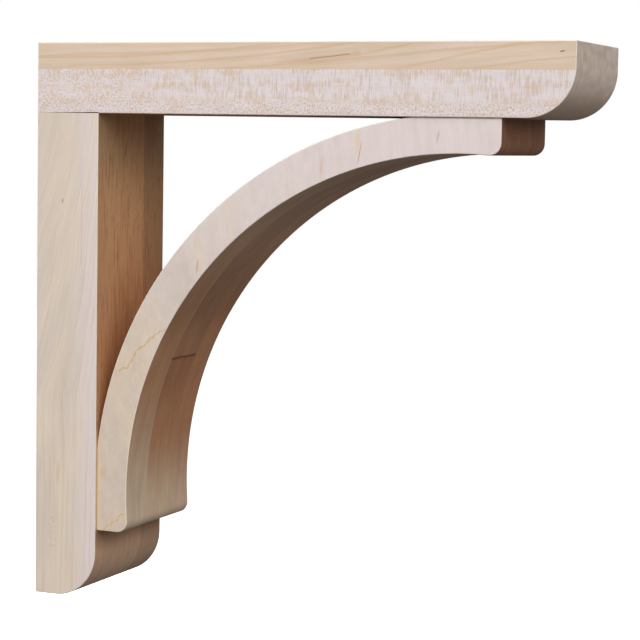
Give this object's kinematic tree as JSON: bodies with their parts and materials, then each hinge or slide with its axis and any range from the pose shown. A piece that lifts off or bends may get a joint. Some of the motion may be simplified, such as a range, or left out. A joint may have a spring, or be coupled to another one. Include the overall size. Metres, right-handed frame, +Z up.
{
  "type": "wooden corbel bracket",
  "caption": "Glued maple corbel bracket: a shelf arm over a wall leg, with a curved quarter-ring brace between them.",
  "frame": {"origin": "on the wall face, in the middle of its height and width", "axes": "+X out from the wall along the arm, +Y across the width, +Z up towards the shelf"},
  "size_m": [0.3048, 0.0762, 0.3048],
  "materials": {
    "tan_maple": "sanded, unfinished",
    "flecked_maple": "sanded, unfinished, quarter-sawn with ray fleck",
    "cream_maple": "sanded, unfinished",
    "pink_maple": "sanded, unfinished"
  },
  "bodies": {
    "root": {"arm_top_board": "tan_maple", "arm_bottom_board": "flecked_maple", "leg_near_board": "cream_maple", "leg_far_board": "cream_maple", "brace_near_layer": "pink_maple", "brace_middle_low_layer": "pink_maple", "brace_middle_high_layer": "pink_maple", "brace_far_layer": "pink_maple"}
  },
  "joints": []
}
